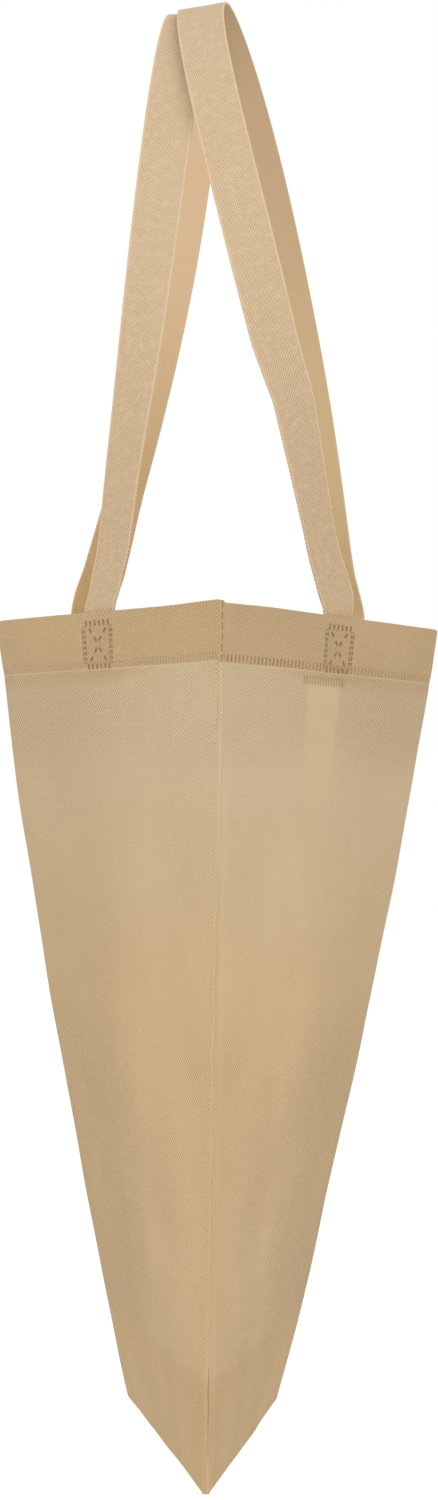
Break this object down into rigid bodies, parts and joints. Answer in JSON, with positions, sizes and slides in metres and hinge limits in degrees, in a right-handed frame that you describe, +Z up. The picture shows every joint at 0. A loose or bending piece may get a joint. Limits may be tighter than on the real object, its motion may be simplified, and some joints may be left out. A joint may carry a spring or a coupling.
{
  "type": "tote bag",
  "caption": "Soft non-woven fabric tote bag hanging open by its long webbing handles, with a turned hem, welded side seams and a folded bottom gusset, for carrying shopping.",
  "frame": {"origin": "the underside of the front handle's crown, where a hook or a rail bears", "axes": "+Z up, +X towards the right side seam, which faces the camera in the picture, +Y from the front panel to the back panel"},
  "size_m": [0.3736, 0.2386, 0.743],
  "materials": {
    "body_cloth": "matte beige spunbond cloth with a fine dimple emboss",
    "hem_cloth": "the same cloth folded double, darker where no light comes through",
    "seam_cloth": "the same cloth, melted smooth along the weld",
    "tape": "thin smooth tape of the same cloth",
    "webbing": "pale beige woven polypropylene with a fine diagonal weave"
  },
  "bodies": {
    "bag": {"front_panel": "body_cloth", "back_panel": "body_cloth", "front_hem": "hem_cloth", "back_hem": "hem_cloth", "right_side_seam": "seam_cloth", "left_side_seam": "seam_cloth", "bottom_gusset": "body_cloth", "inner_tab": "tape", "front_handle_right_end": "webbing", "front_handle_left_end": "webbing", "back_handle_right_end": "webbing", "back_handle_left_end": "webbing"},
    "front_handle": {"front_handle": "webbing", "front_handle_right_bend": "webbing", "front_handle_left_bend": "webbing"},
    "back_handle": {"back_handle": "webbing", "back_handle_right_bend": "webbing", "back_handle_left_bend": "webbing"}
  },
  "joints": [
    {"name": "front_handle_hinge", "type": "hinge", "parent": "bag", "child": "front_handle", "pos_m": [-0.00497, -0.04804, -0.3155], "axis": [0.9963, 0.0865, 0], "range_deg": [0, 145], "deforming": ["front_handle_right_bend", "front_handle_left_bend"]},
    {"name": "back_handle_hinge", "type": "hinge", "parent": "bag", "child": "back_handle", "pos_m": [-0.00497, 0.08504, -0.3155], "axis": [-0.9963, 0.0865, 0], "range_deg": [0, 145], "deforming": ["back_handle_right_bend", "back_handle_left_bend"]}
  ]
}
